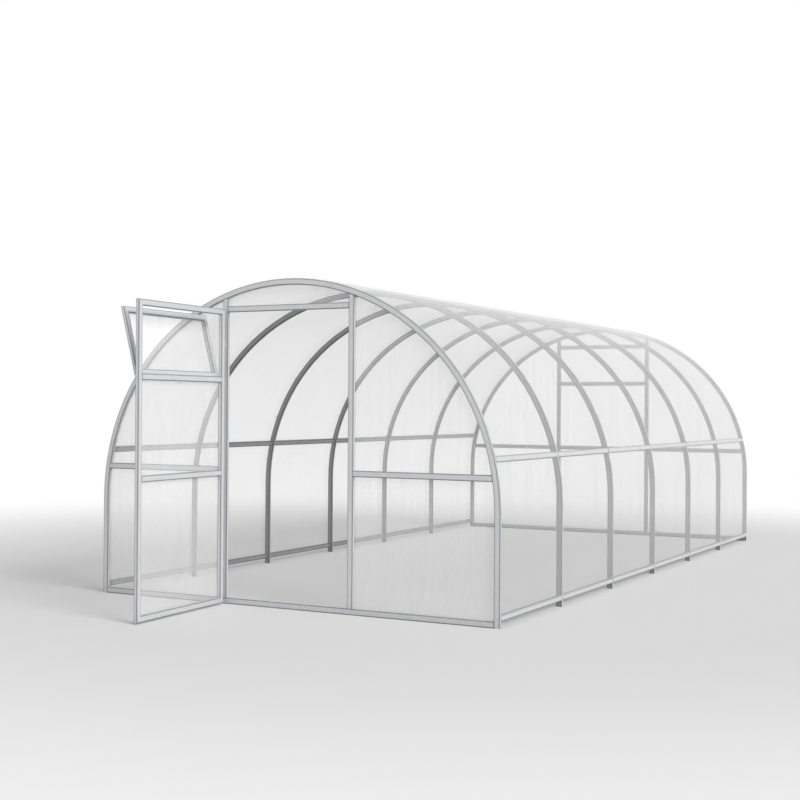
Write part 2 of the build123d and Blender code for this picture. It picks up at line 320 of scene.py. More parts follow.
def straight_tube(draft, place, outline, start, end, outer=None):
    """Tube along a frame's z, with both ends cut where start and end say for a place across it."""
    seed = len(draft.faces) * GRAIN_STEP
    edges = [edge for _, _, edge in outline]
    rows = []
    for reach in (start, end):
        corners = [(u, v, reach(u)) for u, v, _ in outline]
        grain = [(u + seed, v + seed, w) for u, v, w in corners]
        rows.append(draft.add([place @ Vector(corner) for corner in corners], grain, edges, outer))
    draft.loft(rows)


def sweep(draft, stations, section, finish=0, edges=None, outer=None):
    """Bar bent along the arch line, from each corner's level, y and place across the grain."""
    rows = []
    for (point, out), length in zip(stations, distances(stations)):
        ring = [point + out * level + BACK * y for level, y, _ in section]
        rows.append(draft.add(ring, [(*across, length) for _, _, across in section], edges, outer))
    draft.loft(rows, finish)


def square(length):
    """Cut square to the tube."""
    return lambda u: length


def post_cut(x):
    """Cut of an upright tube to the inside of the arch."""
    return lambda u: arch_height(x + u, ARCH_INSIDE)


def rail_cut(y, side):
    """Cut of a level tube to the inside of the arch, on its left (-1) or its right (1)."""
    return lambda u: side * arch_half_width(y + u, ARCH_INSIDE)


def crosswise(wall, y, z):
    """Frame of a tube that runs to the right in a wall or leaf: its wide side up, its thin side out."""
    return wall @ Matrix.Translation((0, y, z)) @ axes(Vector(), BACK, UP, RIGHT)


def upright(wall, x, z):
    """Frame of a tube that runs up in a wall or leaf: its wide side to the right, its thin side out."""
    return wall @ Matrix.Translation((x, 0, z)) @ axes(Vector(), RIGHT, UP, BACK)


def node(tree, kind, sockets=None, **settings):
    """Shader node with its settings, and its sockets set or linked."""
    made = tree.nodes.new(kind)
    for name, value in settings.items():
        setattr(made, name, value)
    for socket, value in (sockets or {}).items():
        if isinstance(value, bpy.types.NodeSocket):
            tree.links.new(value, made.inputs[socket])
        else:
            made.inputs[socket].default_value = value
    return made


def calc(tree, operation, first, second=0.0, third=0.0):
    """Output of a math node."""
    return node(tree, "ShaderNodeMath", {0: first, 1: second, 2: third}, operation=operation).outputs[0]


def new_material(name):
    """Empty material and its node tree."""
    material = bpy.data.materials.new(name)
    material.use_nodes = True
    material.node_tree.nodes.clear()
    return material, material.node_tree


def attribute(tree, name, output="Fac"):
    """Output of one of a piece's attributes."""
    return node(tree, "ShaderNodeAttribute", attribute_name=name).outputs[output]


def grain_place(tree, across, along):
    """Place on a piece, with its own scale across and along the piece."""
    scale = {0: attribute(tree, "grain", "Vector"), 1: (across, across, along)}
    return node(tree, "ShaderNodeVectorMath", scale, operation="MULTIPLY").outputs[0]


def noise(tree, place, scale=1.0, **sockets):
    """Grey noise at a place."""
    return node(tree, "ShaderNodeTexNoise", {"Vector": place, "Scale": scale, **sockets}).outputs["Fac"]


def varied(tree, mark, low, gain):
    """Value that rises from low by a mark times gain."""
    return calc(tree, "MULTIPLY_ADD", mark, gain, low)


def toned(tree, colour, tone):
    """Colour with its value times a tone."""
    return node(tree, "ShaderNodeHueSaturation", {"Color": colour, "Value": tone}).outputs[0]


def bump(tree, height, strength, distance):
    """Normal of a surface with a relief."""
    relief = {"Strength": strength, "Distance": distance, "Height": height}
    return node(tree, "ShaderNodeBump", relief).outputs[0]


def mix(tree, share, first, second):
    """Mix of two shaders."""
    return node(tree, "ShaderNodeMixShader", {0: share, 1: first, 2: second}).outputs[0]


def steel_material(context, bright):
    """Galvanised steel: painted shade on the rounded corners, spangle, drawn streaks, dull patches and dust
    on the feet; on the copy that is not bright, painted shade on the faces that don't face out of the house.
    """
    name = "bright_galvanised_steel" if bright else "dull_galvanised_steel"
    if name in bpy.data.materials:
        return bpy.data.materials[name]
    steel = context.scene.greenhouse_steel
    material, tree = new_material(name)
    cells = {"Vector": grain_place(tree, across=1, along=1), "Scale": 1 / steel.spangle}
    crystals = node(tree, "ShaderNodeTexVoronoi", cells).outputs["Color"]
    crystal = node(tree, "ShaderNodeSeparateColor", {0: crystals}).outputs[0]
    streak = noise(tree, grain_place(tree, across=220, along=3), Detail=3.0)
    where = node(tree, "ShaderNodeTexCoord").outputs["Object"]
    patch = noise(tree, where, scale=4.0, Detail=4.0)
    height = node(tree, "ShaderNodeSeparateXYZ", {0: where}).outputs["Z"]
    foot = calc(tree, "SMOOTH_MAX", calc(tree, "SUBTRACT", DUST_HEIGHT, height), 0.0, DUST_EASE)
    dust = calc(tree, "MULTIPLY", foot, patch)
    tone = varied(tree, crystal, low=0.80, gain=0.10)
    tone = varied(tree, streak, low=tone, gain=0.12)
    tone = varied(tree, patch, low=tone, gain=0.18)
    tone = varied(tree, dust, low=tone, gain=-2.0)
    # Painted shade along the tubes' rounded corners, unevenly strong
    corner = calc(tree, "MULTIPLY", attribute(tree, "edge"), varied(tree, patch, low=0.7, gain=0.5))
    tone = calc(tree, "MULTIPLY", tone, varied(tree, corner, low=1.0, gain=-steel.painted_corner_shade))
    zinc = (*steel.front_colour, 1)
    # Painted shade: on the copy that is not bright, faces that don't face out of the house take the darker
    # zinc colour
    if not bright:
        faces = {0: attribute(tree, "outer"), 6: (*steel.colour, 1), 7: zinc}
        zinc = node(tree, "ShaderNodeMix", faces, data_type="RGBA").outputs[2]
    surface = {
        "Base Color": toned(tree, zinc, tone),
        "Metallic": 0.15,
        "Roughness": varied(tree, crystal, low=steel.roughness - 0.05, gain=0.10),
        "Normal": bump(tree, varied(tree, streak, low=crystal, gain=0.6), strength=0.10, distance=0.0004),
    }
    shader = node(tree, "ShaderNodeBsdfPrincipled", surface).outputs[0]
    node(tree, "ShaderNodeOutputMaterial", {"Surface": shader})
    return material


def sheet_material(context, roof):
    """Clear polycarbonate skin: thin milky film in long streaks, rib lines and a glossy face."""
    name = "polycarbonate_roof_skin" if roof else "polycarbonate_pane_skin"
    if name in bpy.data.materials:
        return bpy.data.materials[name]
    sheet = context.scene.greenhouse_sheet
    # Painted shade: the roof sheets are darker and clearer than the panes, to offset the key light on them
    tint, haze = (sheet.roof_tint, sheet.roof_haze) if roof else (sheet.pane_tint, sheet.pane_haze)
    milky = (*sheet.colour, 1)
    material, tree = new_material(name)
    across = node(tree, "ShaderNodeSeparateXYZ", {0: attribute(tree, "grain", "Vector")}).outputs["X"]
    cell = calc(tree, "PINGPONG", calc(tree, "DIVIDE", across, sheet.flute_pitch), 0.5)
    rib_line = node(tree, "ShaderNodeMapRange", {0: cell, 1: RIB_LINE, 2: 0.0}).outputs[0]
    streak = noise(tree, grain_place(tree, across=22, along=0.5), Detail=4.0, Roughness=0.65)
    film = varied(tree, streak, low=haze / 2, gain=haze)
    film = varied(tree, rib_line, low=film, gain=0.04)
    clear = node(tree, "ShaderNodeBsdfTransparent", {"Color": (*tint, 1)}).outputs[0]
    milk = node(tree, "ShaderNodeBsdfPrincipled", {"Base Color": milky, "Roughness": 0.35}).outputs[0]
    through = node(tree, "ShaderNodeBsdfTranslucent", {"Color": milky}).outputs[0]
    skin = mix(tree, film, clear, mix(tree, LIT_THROUGH, milk, through))
    facing = node(tree, "ShaderNodeLayerWeight", {"Blend": 0.5}).outputs["Facing"]
    gloss = varied(tree, calc(tree, "POWER", facing, GLOSS_POWER), low=0.03, gain=0.32)
    waves = bump(tree, calc(tree, "ADD", rib_line, streak), strength=0.15, distance=0.0003)
    mirror = {"Color": (1, 1, 1, 1), "Roughness": 0.12, "Normal": waves}
    shine = node(tree, "ShaderNodeBsdfAnisotropic", mirror).outputs[0]
    node(tree, "ShaderNodeOutputMaterial", {"Surface": mix(tree, gloss, skin, shine)})
    return material


def rib_material(context):
    """Ribs between the two skins of a sheet: milky, lit through."""
    name = "polycarbonate_rib"
    if name in bpy.data.materials:
        return bpy.data.materials[name]
    material, tree = new_material(name)
    milky = (*context.scene.greenhouse_sheet.colour, 1)
    streak = noise(tree, grain_place(tree, across=300, along=2))
    colour = toned(tree, milky, varied(tree, streak, low=0.92, gain=0.12))
    front = node(tree, "ShaderNodeBsdfPrincipled", {"Base Color": colour, "Roughness": 0.4}).outputs[0]
    through = node(tree, "ShaderNodeBsdfTranslucent", {"Color": colour}).outputs[0]
    node(tree, "ShaderNodeOutputMaterial", {"Surface": mix(tree, 0.5, front, through)})
    return material


def zinc_material(context):
    """Bright zinc plating with fine scratches and a faint cloudy tint."""
    name = "zinc_plate"
    if name in bpy.data.materials:
        return bpy.data.materials[name]
    material, tree = new_material(name)
    zinc = (*context.scene.greenhouse_hardware.zinc, 1)
    where = node(tree, "ShaderNodeTexCoord").outputs["Object"]
    cloud = noise(tree, where, scale=60.0, Detail=5.0)
    scratch = noise(tree, where, scale=900.0, Detail=2.0)
    surface = {
        "Base Color": toned(tree, zinc, varied(tree, cloud, low=0.82, gain=0.35)),
        "Metallic": 0.7,
        "Roughness": varied(tree, scratch, low=0.25, gain=0.2),
        "Normal": bump(tree, scratch, strength=0.1, distance=0.0002),
    }
    shader = node(tree, "ShaderNodeBsdfPrincipled", surface).outputs[0]
    node(tree, "ShaderNodeOutputMaterial", {"Surface": shader})
    return material


def add_plate(draft, place, outline, back):
    """Closed flat plate from its outline, at a frame's z from back to the sheet's thickness beyond."""
    rows = []
    for level in (back, back + SHEET):
        points = [place @ Vector((x, y, level)) for x, y in outline]
        rows.append(draft.add(points, [(x, 0, y) for x, y in outline]))
    draft.loft(rows)


def rib_section(sheet):
    """Three corners of a rib: place across the sheet and level between its skins."""
    slack = (SHEET - sheet.rib_depth) / 2
    return [(-sheet.rib_width / 2, slack), (sheet.rib_width / 2, slack), (0, slack + sheet.rib_depth)]


def rib_places(low, high, sheet):
    """Places of the ribs across a sheet."""
    count = int((high - low) / sheet.flute_pitch)
    first = (low + high - (count - 1) * sheet.flute_pitch) / 2
    return [first + number * sheet.flute_pitch for number in range(count)]


def add_ribs(draft, place, low, high, top, sheet):
    """Upright ribs inside a flat plate from low to high, up to the height that top gives."""
    section = rib_section(sheet)
    for x in rib_places(low.x, high.x, sheet):
        rows = []
        for y in (low.y + RIB_END, top(x) - RIB_END):
            points = [place @ Vector((x + across, y, low.z + level)) for across, level in section]
            rows.append(draft.add(points, [(x, 0, y)] * len(section)))
        draft.loft(rows, RIB)


def pane(context, name, body, node_name, place, outline, top):
    """Flat twin-wall pane in a frame: plate, ribs and the CAD node that it stands for."""
    draft = Draft()
    low, high = local_box(node_name, place)
    add_plate(draft, place, outline, low.z)
    add_ribs(draft, place, low, high, top, context.scene.greenhouse_sheet)
    materials = (sheet_material(context, False), rib_material(context))
    draft.build(name, body, "polycarbonate", materials, [node_name])


def build_tube(draft, name, body, material, ending="tube"):
    """Makes the steel piece that stands for one CAD node, its flats kept flat in the light."""
    piece = draft.build(f"{name}_{ending}", body, "galvanised_tube", [material], [name])
    piece.modifiers.new("flat_faces", "WEIGHTED_NORMAL").keep_sharp = True


class GREENHOUSE_OT_arches(bpy.types.Operator):
    """Bend the seven arch tubes with rounded corners"""

    bl_idname = "greenhouse.arches"
    bl_label = "Arches"

    def execute(self, context):
        steel = context.scene.greenhouse_steel
        outline = tube_outline(steel)
        outer = [outer_share(u, TUBE_WIDE, steel) for u, _, _ in outline]
        # Faces that face out, with the rear arch's rear face, keep the lighter zinc; the front arch keeps it
        # on every face; the other faces take painted shade
        rear = [max(share, outer_share(v, TUBE_THIN, steel)) for share, (_, v, _) in zip(outer, outline)]
        edges = [edge for _, _, edge in outline]
        stations = arch_stations(0.0)
        for number, name in enumerate(ARCHES):
            low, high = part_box(name)
            middle = (low.y + high.y) / 2
            section = [(u - TUBE_WIDE / 2, middle + v, (u + number, v)) for u, v, _ in outline]
            draft = Draft()
            sweep(draft, stations, section, edges=edges, outer=rear if name == ARCHES[-1] else outer)
            build_tube(draft, name, "house", steel_material(context, number == 0))
        return {"FINISHED"}


class GREENHOUSE_OT_side_rails(bpy.types.Operator):
    """Lay the base rails and purlins between the arches"""

    bl_idname = "greenhouse.side_rails"
    bl_label = "Side Rails"

    def execute(self, context):
        steel = context.scene.greenhouse_steel
        outline = tube_outline(steel)
        outer = [outer_share(v, TUBE_THIN, steel) for _, v, _ in outline]
        for side, name in zip((-1, 1), SIDES):
            for kind, height in (("base_rails", BASE_RAIL_Z), ("purlins", PURLIN_Z)):
                lift = max(height - LEG_HEIGHT, 0) / SHOULDER_R
                out = Vector((side * sqrt(1 - lift**2), 0, lift))
                hub = Vector((side * SHOULDER_EASE, 0, min(height, LEG_HEIGHT)))
                place = axes(hub + out * (SHOULDER_R - TUBE_THIN / 2), BACK.cross(out), out, BACK)
                draft = Draft()
                for before, after in zip(ARCHES, ARCHES[1:]):
                    start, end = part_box(before)[1].y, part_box(after)[0].y
                    straight_tube(draft, place, outline, square(start), square(end), outer)
                # Side rails take the copy with painted shade on the faces that don't face out
                build_tube(draft, f"{name}_{kind}", "house", steel_material(context, False), "tubes")
        return {"FINISHED"}


class GREENHOUSE_OT_end_walls(bpy.types.Operator):
    """Set the sill, posts, header and gable rails of both end walls"""

    bl_idname = "greenhouse.end_walls"
    bl_label = "End Walls"

    def execute(self, context):
        steel = context.scene.greenhouse_steel
        outline = tube_outline(steel)
        outer = [outer_share(v, TUBE_THIN, steel) for _, v, _ in outline]
        for end in ENDS:
            wall = wall_frame(end)
            kinds = ["sill", "header", "gable_rails", "left_post", "right_post"]
            if end == "rear":
                kinds.append("cross_rails")
            drafts = {kind: Draft() for kind in kinds}
            for kind in ("sill", "header"):
                low, high = local_box(f"{end}_{kind}", wall)
                middle = (low + high) / 2
                place = crosswise(wall, middle.y, middle.z)
                straight_tube(drafts[kind], place, outline, square(low.x), square(high.x), outer)
            for kind in ("left_post", "right_post"):
                low, high = local_box(f"{end}_{kind}", wall)
                middle = (low + high) / 2
                place = upright(wall, middle.x, middle.z)
                straight_tube(drafts[kind], place, outline, square(low.y), post_cut(middle.x), outer)
            low, high = local_box(f"{end}_gable_rails", wall)
            middle = (low + high) / 2
            place = crosswise(wall, middle.y, middle.z)
            post_edge = local_box(f"{end}_right_post", wall)[1].x
            rails = drafts["gable_rails"]
            straight_tube(rails, place, outline, square(post_edge), rail_cut(middle.y, 1), outer)
            straight_tube(rails, place, outline, rail_cut(middle.y, -1), square(-post_edge), outer)
            if end == "rear":
                low, high = local_box("rear_cross_rails", wall)
                for height in (low.y + TUBE_WIDE / 2, high.y - TUBE_WIDE / 2):
                    place = crosswise(wall, height, middle.z)
                    cuts = (square(low.x), square(high.x))
                    straight_tube(drafts["cross_rails"], place, outline, *cuts, outer)
            for kind, draft in drafts.items():
                # The rear wall takes the copy with painted shade on the faces that don't face out
                build_tube(draft, f"{end}_{kind}", "house", steel_material(context, end == "front"))
        return {"FINISHED"}


def mitred_bar(draft, place, outline, x, y, turn, length):
    """Tube along one edge of a leaf or sash, both ends mitred, from a corner of the frame."""
    along = place @ Matrix.Translation((x, y, 0)) @ Matrix.Rotation(radians(turn), 4, "Z")
    bar = along @ Matrix.Translation((0, TUBE_WIDE / 2, 0)) @ axes(Vector(), BACK, UP, RIGHT)
    half = TUBE_WIDE / 2
    straight_tube(draft, bar, outline, lambda u: u + half, lambda u: length - u - half)


def frame_bars(place, outline, low, high):
    """Drafts of the four mitred bars of a leaf or sash: foot, far side, top, near side."""
    width, height = high.x - low.x, high.y - low.y
    bars = [Draft() for _ in range(4)]
    mitred_bar(bars[0], place, outline, low.x, low.y, 0, width)
    mitred_bar(bars[1], place, outline, high.x, low.y, 90, height)
    mitred_bar(bars[2], place, outline, high.x, high.y, 180, width)
    mitred_bar(bars[3], place, outline, low.x, high.y, 270, height)
    return bars


def merge(drafts):
    """One draft of several."""
    whole = Draft()
    for draft in drafts:
        shift = len(whole.points)
        whole.add(draft.points, draft.grain, draft.edge, draft.outer)
        for corners, finish in zip(draft.faces, draft.finishes):
            whole.face([corner + shift for corner in corners], finish)
    return whole


class GREENHOUSE_OT_door(bpy.types.Operator):
    """Make the stiles and rails of the door leaf"""

    bl_idname = "greenhouse.door"
    bl_label = "Door"

    def execute(self, context):
        outline = tube_outline(context.scene.greenhouse_steel)
        leaf = leaf_frame()
        low, high = local_box("front_door_rails", leaf)
        foot, lock, top, hinge = frame_bars(leaf, outline, low, high)
        between = Draft()
        for height in (DOOR_RAIL_Z, VENT_RAIL_Z):
            place = crosswise(leaf, height, 0)
            straight_tube(between, place, outline, square(low.x + TUBE_WIDE), square(high.x - TUBE_WIDE))
        rails = merge((foot, top, between))
        for kind, draft in (("hinge_stile", hinge), ("lock_stile", lock), ("rails", rails)):
            build_tube(draft, f"front_door_{kind}", "front_door", steel_material(context, True))
        return {"FINISHED"}


class GREENHOUSE_OT_vent(bpy.types.Operator):
    """Make the mitred sash of the vent"""

    bl_idname = "greenhouse.vent"
    bl_label = "Vent"

    def execute(self, context):
        outline = tube_outline(context.scene.greenhouse_steel)
        sash = sash_frame()
        low, high = local_box("front_vent_rails", sash)
        foot, far, top, near = frame_bars(sash, outline, low, high)
        for kind, draft in (("rails", merge((foot, top))), ("stiles", merge((near, far)))):
            build_tube(draft, f"front_vent_{kind}", "front_vent", steel_material(context, True))
        return {"FINISHED"}


class GREENHOUSE_OT_roof_sheets(bpy.types.Operator):
    """Bend the three twin-wall sheets over the arches"""

    bl_idname = "greenhouse.roof_sheets"
    bl_label = "Roof Sheets"

    def execute(self, context):
        sheet = context.scene.greenhouse_sheet
        stations = arch_stations(SHEET_FOOT)
        for number, name in enumerate(ROOF_SHEETS):
            low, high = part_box(name)
            corners = ((low.y, 0), (high.y, 0), (high.y, SHEET), (low.y, SHEET))
            draft = Draft()
            sweep(draft, stations, [(ROOF_GAP + level, y, (y, number)) for y, level in corners])
            for y in rib_places(low.y, high.y, sheet):
                rib = [(ROOF_GAP + level, y + across, (y, number)) for across, level in rib_section(sheet)]
                sweep(draft, stations, rib, RIB)
            materials = (sheet_material(context, True), rib_material(context))
            draft.build(f"{name}_twin_wall", "house", "polycarbonate", materials, [name])
        return {"FINISHED"}


def gable_outline(low, high):
    """Outline of a gable pane: its box, with the top cut to the inside of the arch."""
    outline = [(low.x, low.y), (high.x, low.y), (high.x, gable_height(high.x))]
    for point, out in reversed(arch_stations(low.y)):
        place = point + out * GABLE_INSIDE
        if low.x < place.x < high.x and place.z > low.y:
            outline.append((place.x, place.z))
    outline.append((low.x, gable_height(low.x)))
    return outline


def gable_height(x):
    """Height of a gable pane's edge at a distance from the middle."""
    if abs(x) > HALF_WIDTH + GABLE_INSIDE - PANE_GAP:
        return LEG_HEIGHT
    return arch_height(x, GABLE_INSIDE)


class GREENHOUSE_OT_gable_panes(bpy.types.Operator):
    """Set the twin-wall panes of both end walls behind their tubes"""

    bl_idname = "greenhouse.gable_panes"
    bl_label = "Gable Panes"

    def execute(self, context):
        for end in ENDS:
            wall = wall_frame(end)
            middle = "top_pane" if end == "front" else "middle_pane"
            for kind in ("left_pane", "right_pane", middle):
                name = f"{end}_{kind}"
                low, high = local_box(name, wall)
                outline = gable_outline(low, high)
                pane(context, f"{name}_twin_wall", "house", name, wall, outline, gable_height)
        return {"FINISHED"}


class GREENHOUSE_OT_leaf_panes(bpy.types.Operator):
    """Fix the twin-wall panes on the outer faces of the door and the vent"""

    bl_idname = "greenhouse.leaf_panes"
    bl_label = "Door and Vent Panes"

    def execute(self, context):
        for kind, place in (("door", leaf_frame()), ("vent", sash_frame())):
            name = f"front_{kind}_pane"
            low, high = local_box(name, place)
            outline = [(low.x, low.y), (high.x, low.y), (high.x, high.y), (low.x, high.y)]
            pane(context, f"{name}_twin_wall", f"front_{kind}", name, place, outline, lambda x: high.y)
        return {"FINISHED"}


class GREENHOUSE_OT_hinges(bpy.types.Operator):
    """Plate the pintles and eyes of the door and the vent with zinc"""

    bl_idname = "greenhouse.hinges"
    bl_label = "Hinges"

    def execute(self, context):
        for name, piece in frame["nodes"].items():
            if name.endswith(("_pintles", "_eyes")):
                piece.data.materials.clear()
                piece.data.materials.append(zinc_material(context))
        return {"FINISHED"}


def add_screw(draft, place, hardware):
    """Hexagon screw with its washer on a frame's origin, its head along z."""
    seat, head = hardware.washer / 2, hardware.head / 2
    rings = (
        (seat, False, 0),
        (seat, False, WASHER_RIM),
        (seat * BEVEL, False, WASHER_TOP),
        (head, True, HEAD_FOOT),
        (head, True, HEAD_RIM),
        (head * BEVEL, False, 1),
    )
    rows = []
    for radius, six_sided, level in rings:
        points = []
        for side in range(SCREW_SIDES):
            turn = 2 * pi * side / SCREW_SIDES
            reach = radius / cos(turn % (pi / 3) - pi / 6) if six_sided else radius
            spot = (reach * cos(turn), reach * sin(turn), level * hardware.head_height)
            points.append(place @ Vector(spot))
        rows.append(draft.add(points, [tuple(point) for point in points]))
    draft.loft(rows)


def spaced(start, end, gap):
    """Evenly spaced places from start to end, about gap apart."""
    steps = max(1, round(abs(end - start) / gap))
    return [start + (end - start) * step / steps for step in range(steps + 1)]


def bend_spot(turn, offset):
    """Point of the right bend, moved out by offset, at an angle above the level: x and height."""
    if turn < SHOULDER_TURN:
        radius = SHOULDER_R + offset
        return SHOULDER_EASE + radius * cos(turn), LEG_HEIGHT + radius * sin(turn)
    radius = CROWN_R + offset
    return radius * cos(turn), CROWN_CENTRE + radius * sin(turn)


def inward(place):
    """Frame turned about its y, so that its z runs the other way."""
    return place @ Matrix.Rotation(pi, 4, "Y")


class GREENHOUSE_OT_roof_screws(bpy.types.Operator):
    """Screw the roof sheets down to the bends of the arches"""

    bl_idname = "greenhouse.roof_screws"
    bl_label = "Roof Screws"

    def execute(self, context):
        hardware = context.scene.greenhouse_hardware
        for name in ROOF_SHEETS:
            draft = Draft()
            low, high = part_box(name)
            for arch in ARCHES:
                first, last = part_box(arch)
                lap = (max(low.y, first.y), min(high.y, last.y))
                if lap[0] < lap[1]:
                    self.screw_row(draft, sum(lap) / 2, hardware)
            draft.build(f"{name}_screws", "house", "hinge", [zinc_material(context)])
        return {"FINISHED"}

    def screw_row(self, draft, y, hardware):
        """Screws along both bends of an arch."""
        head = Matrix.Rotation(SCREW_TURN, 4, "Z")
        for turn in spaced(SCREW_FROM, SCREW_TO, hardware.spacing / CROWN_R):
            x, z = bend_spot(turn, ROOF_GAP + SHEET)
            for side in (-1, 1):
                out = Vector((side * cos(turn), 0, sin(turn)))
                add_screw(draft, axes(Vector((side * x, y, z)), BACK.cross(out), BACK, out) @ head, hardware)


class GREENHOUSE_OT_gable_screws(bpy.types.Operator):
    """Screw the gable panes to the tubes from inside"""

    bl_idname = "greenhouse.gable_screws"
    bl_label = "Gable Screws"

    def execute(self, context):
        hardware = context.scene.greenhouse_hardware
        lap = (GABLE_INSIDE - TUBE_WIDE) / 2
        for end in ENDS:
            wall = wall_frame(end)
            draft = Draft()
            low = local_box(f"{end}_right_pane", wall)[0]
            sill_low, sill_high = local_box(f"{end}_sill", wall)
            post = local_box(f"{end}_right_post", wall)[1]
            sill_y = (sill_low.y + sill_high.y) / 2
            post_x = (post.x + low.x) / 2
            spots = [(post_x, y) for y in spaced(sill_y, post.y - TUBE_WIDE, hardware.spacing)]
            spots += [(x, sill_y) for x in spaced(post_x, sill_high.x - TUBE_WIDE, hardware.spacing)[1:]]
            turns = spaced(SCREW_FROM, SCREW_TO - SCREW_FROM, hardware.spacing / CROWN_R)
            spots += [bend_spot(turn, lap) for turn in turns]
            for x, y in spots:
                for side in (-1, 1):
                    add_screw(draft, inward(wall @ Matrix.Translation((side * x, y, low.z))), hardware)
            draft.build(f"{end}_gable_screws", "house", "hinge", [zinc_material(context)])
        return {"FINISHED"}


class GREENHOUSE_OT_leaf_screws(bpy.types.Operator):
    """Screw the panes to the outer faces of the door and the vent"""

    bl_idname = "greenhouse.leaf_screws"
    bl_label = "Door and Vent Screws"

    def execute(self, context):
        hardware = context.scene.greenhouse_hardware
        for kind, place in (("door", leaf_frame()), ("vent", sash_frame())):
            draft = Draft()
            low, high = local_box(f"front_{kind}_pane", place)
            edge = local_box(f"front_{kind}_rails", place)[0].x + TUBE_WIDE / 2 - low.x
            top = VENT_RAIL_Z - TUBE_WIDE / 2 if kind == "door" else high.y
            sides = spaced(low.y + edge, top - edge, hardware.spacing)
            spots = [(x, y) for x in (low.x + edge, high.x - edge) for y in sides]
            ends = spaced(low.x + edge, high.x - edge, hardware.spacing)[1:-1]
            spots += [(x, y) for x in ends for y in (sides[0], sides[-1])]
            for x, y in spots:
                add_screw(draft, place @ Matrix.Translation((x, y, high.z)), hardware)
            draft.build(f"front_{kind}_screws", f"front_{kind}", "hinge", [zinc_material(context)])
        return {"FINISHED"}


class GREENHOUSE_OT_stage(bpy.types.Operator):
    """Lay a pale floor, light it softly and set the camera"""

    bl_idname = "greenhouse.stage"
    bl_label = "Stage"

    def execute(self, context):
        scene = context.scene
        stage = scene.greenhouse_stage
        scene.view_settings.view_transform = "Standard"
        low, high = CAD_BOX
        centre = (low + high) / 2
        self.lay_floor(scene, stage, Vector((centre.x, centre.y, 0)))
        self.light_world(scene, stage)
        self.hang_key(scene, stage)
        self.set_camera(scene, stage)
        return {"FINISHED"}

    def white_ray(self, tree):
        """1 for the rays that should meet a white background."""
        path = node(tree, "ShaderNodeLightPath").outputs
        seen = calc(tree, "ADD", path["Is Camera Ray"], path["Is Glossy Ray"])
        return calc(tree, "MINIMUM", calc(tree, "ADD", seen, path["Is Transmission Ray"]), 1.0)

    def lay_floor(self, scene, stage, centre):
        """Round floor that fades to white away from its middle."""
        mesh = bpy.data.meshes.new("floor")
        loose = bmesh.new()
        bmesh.ops.create_circle(loose, cap_ends=True, segments=FLOOR_SIDES, radius=stage.floor_radius)
        loose.to_mesh(mesh)
        loose.free()
        floor = bpy.data.objects.new("floor", mesh)
        floor.location = centre
        scene.collection.objects.link(floor)
        material, tree = new_material("pale_floor")
        where = node(tree, "ShaderNodeTexCoord").outputs["Object"]
        away = node(tree, "ShaderNodeVectorMath", {0: where}, operation="LENGTH").outputs["Value"]
        far = {0: away, 1: stage.fade_start, 2: stage.fade_end, 3: stage.floor_lift}
        fade = node(tree, "ShaderNodeMapRange", far, interpolation_type="SMOOTHSTEP").outputs[0]
        fade = calc(tree, "MULTIPLY", fade, self.white_ray(tree))
        matt = node(tree, "ShaderNodeBsdfDiffuse", {"Color": (*stage.floor_colour, 1)}).outputs[0]
        white = node(tree, "ShaderNodeEmission", {"Color": (1, 1, 1, 1)}).outputs[0]
        node(tree, "ShaderNodeOutputMaterial", {"Surface": mix(tree, fade, matt, white)})
        mesh.materials.append(material)

    def light_world(self, scene, stage):
        """Soft light, stronger on one side, and a white background."""
        world = bpy.data.worlds.new("studio")
        world.use_nodes = True
        tree = world.node_tree
        tree.nodes.clear()
        way = node(tree, "ShaderNodeTexCoord").outputs["Generated"]
        lean = {0: way, 1: Vector(stage.ambient_from) * stage.ambient_lean * stage.ambient}
        side = node(tree, "ShaderNodeVectorMath", lean, operation="DOT_PRODUCT").outputs["Value"]
        strength = calc(tree, "ADD", side, stage.ambient)
        glow = {"Color": (*stage.ambient_colour, 1), "Strength": strength}
        soft = node(tree, "ShaderNodeBackground", glow).outputs[0]
        white = node(tree, "ShaderNodeBackground", {"Color": (1, 1, 1, 1)}).outputs[0]
        sky = mix(tree, self.white_ray(tree), soft, white)
        node(tree, "ShaderNodeOutputWorld", {"Surface": sky})
        scene.world = world

    def hang_key(self, scene, stage):
        """Broad sun."""
        lamp = bpy.data.lights.new("key", "SUN")
        lamp.energy = stage.key
        lamp.angle = stage.key_softness
        key = bpy.data.objects.new("key", lamp)
        key.rotation_mode = "QUATERNION"
        key.rotation_quaternion = Vector(stage.key_from).to_track_quat("Z", "Y")
        scene.collection.objects.link(key)

    def set_camera(self, scene, stage):
        """Camera with its place, turn and lens."""
        lens = bpy.data.cameras.new("camera")
        lens.sensor_width = SENSOR
        lens.lens = stage.lens
        camera = bpy.data.objects.new("camera", lens)
        yaw = Matrix.Rotation(stage.camera_yaw, 4, "Z")
        pitch = Matrix.Rotation(pi / 2 + stage.camera_pitch, 4, "X")
        roll = Matrix.Rotation(stage.camera_roll, 4, "Z")
        camera.matrix_world = Matrix.Translation(stage.camera_place) @ yaw @ pitch @ roll
        scene.collection.objects.link(camera)
        scene.camera = camera


